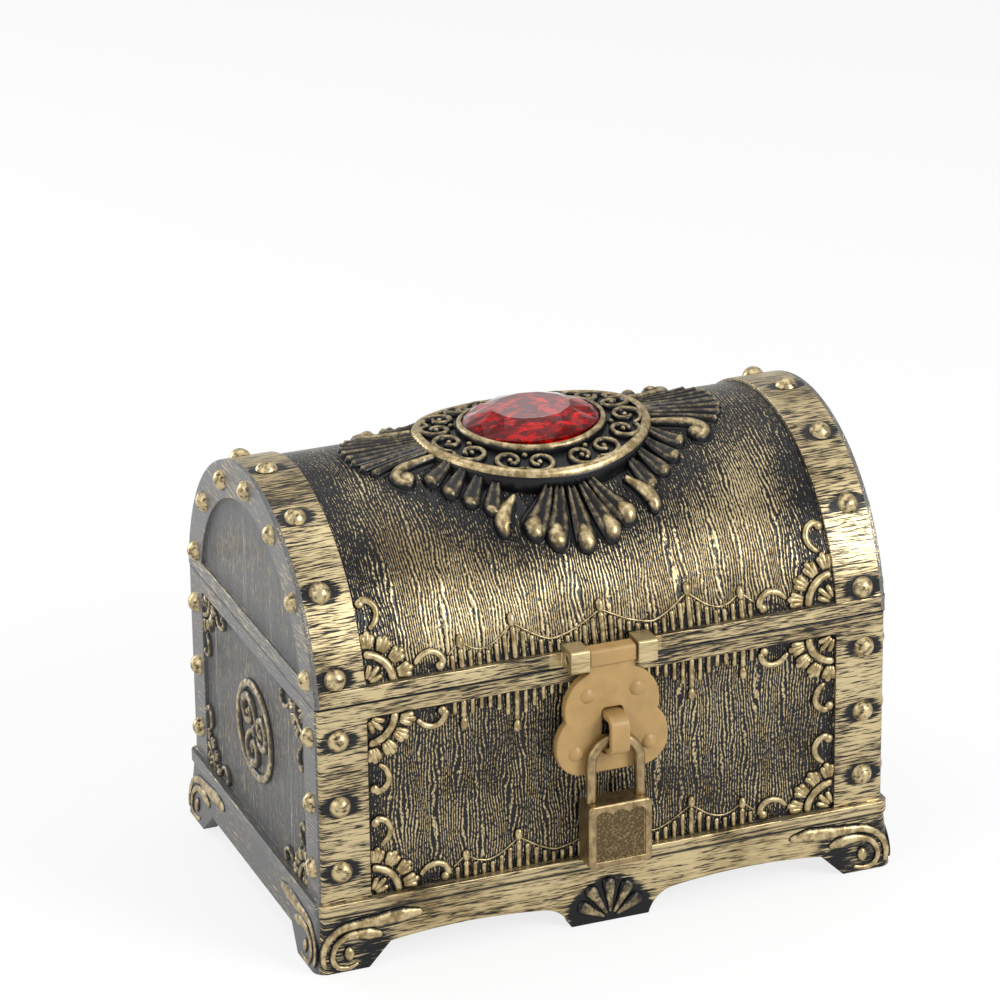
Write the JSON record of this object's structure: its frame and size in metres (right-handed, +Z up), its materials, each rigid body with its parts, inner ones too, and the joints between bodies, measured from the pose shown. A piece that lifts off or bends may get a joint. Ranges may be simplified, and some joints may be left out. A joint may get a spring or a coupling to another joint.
{
  "type": "treasure chest box",
  "caption": "Small domed treasure chest box with antique gilt relief, a red stone on the lid, a hasp over a staple and a hanging padlock.",
  "frame": {"origin": "middle of the part's box, on the surface that its feet stand on", "axes": "+X to the right along the chest, +Y towards the hinge side, +Z up; the hasp faces -Y"},
  "size_m": [0.1696, 0.1208, 0.1296],
  "materials": {
    "gilt_plastic": "black moulding with dry-brushed antique gold",
    "tan_plastic": "satin",
    "red_gem": "faceted, polished",
    "pin_steel": "satin",
    "lock_brass": "antique"
  },
  "bodies": {
    "box": {"box_shell": "gilt_plastic", "staple": "tan_plastic", "hinge_pin_left": "pin_steel", "hinge_pin_right": "pin_steel", "box_studs_front": "gilt_plastic", "box_studs_back": "gilt_plastic", "box_studs_left": "gilt_plastic", "box_studs_right": "gilt_plastic", "side_ring_left": "gilt_plastic", "side_ring_right": "gilt_plastic", "carving_front": "gilt_plastic", "carving_back": "gilt_plastic", "carving_left": "gilt_plastic", "carving_right": "gilt_plastic", "foot_carving_front": "gilt_plastic", "foot_carving_back": "gilt_plastic", "foot_carving_left": "gilt_plastic", "foot_carving_right": "gilt_plastic"},
    "lid": {"lid_shell": "gilt_plastic", "hasp_pin": "pin_steel", "crest_plate": "gilt_plastic", "crest_ring": "gilt_plastic", "gem_bezel": "gilt_plastic", "gem": "red_gem", "lid_studs_left_band": "gilt_plastic", "lid_studs_left_end": "gilt_plastic", "lid_studs_right_band": "gilt_plastic", "lid_studs_right_end": "gilt_plastic", "lid_carving_front": "gilt_plastic", "lid_carving_back": "gilt_plastic"},
    "hasp": {"hasp_plate": "tan_plastic", "hasp_rivets": "tan_plastic"},
    "shackle": {"shackle": "lock_brass"},
    "padlock": {"padlock_case": "lock_brass"},
    "key_plug": {"key_plug": "lock_brass"}
  },
  "joints": [
    {"name": "lid_hinge", "type": "hinge", "parent": "box", "child": "lid", "pos_m": [0, 0.05745, 0.076], "axis": [-1, 0, 0], "range_deg": [0, 105]},
    {"name": "hasp_swing", "type": "hinge", "parent": "lid", "child": "hasp", "pos_m": [0, -0.05315, 0.0796], "axis": [-1, 0, 0], "range_deg": [0, 200]},
    {"name": "padlock_swing", "type": "hinge", "parent": "box", "child": "shackle", "pos_m": [0, -0.05635, 0.05629], "axis": [-1, 0, 0], "range_deg": [0, 75]},
    {"name": "padlock_open", "type": "slide", "parent": "shackle", "child": "padlock", "axis": [0, 0, -1], "range_m": [0, 0.005]},
    {"name": "key_turn", "type": "hinge", "parent": "padlock", "child": "key_plug", "pos_m": [0, -0.05635, 0.0201], "axis": [0, 0, 1], "range_deg": [0, 90]}
  ],
  "couplings": [
    {"joint": "hasp_swing", "follows": "lid_hinge", "ratio": 1.9047},
    {"joint": "key_turn", "follows": "padlock_open", "rad_per_m": 314.15}
  ]
}
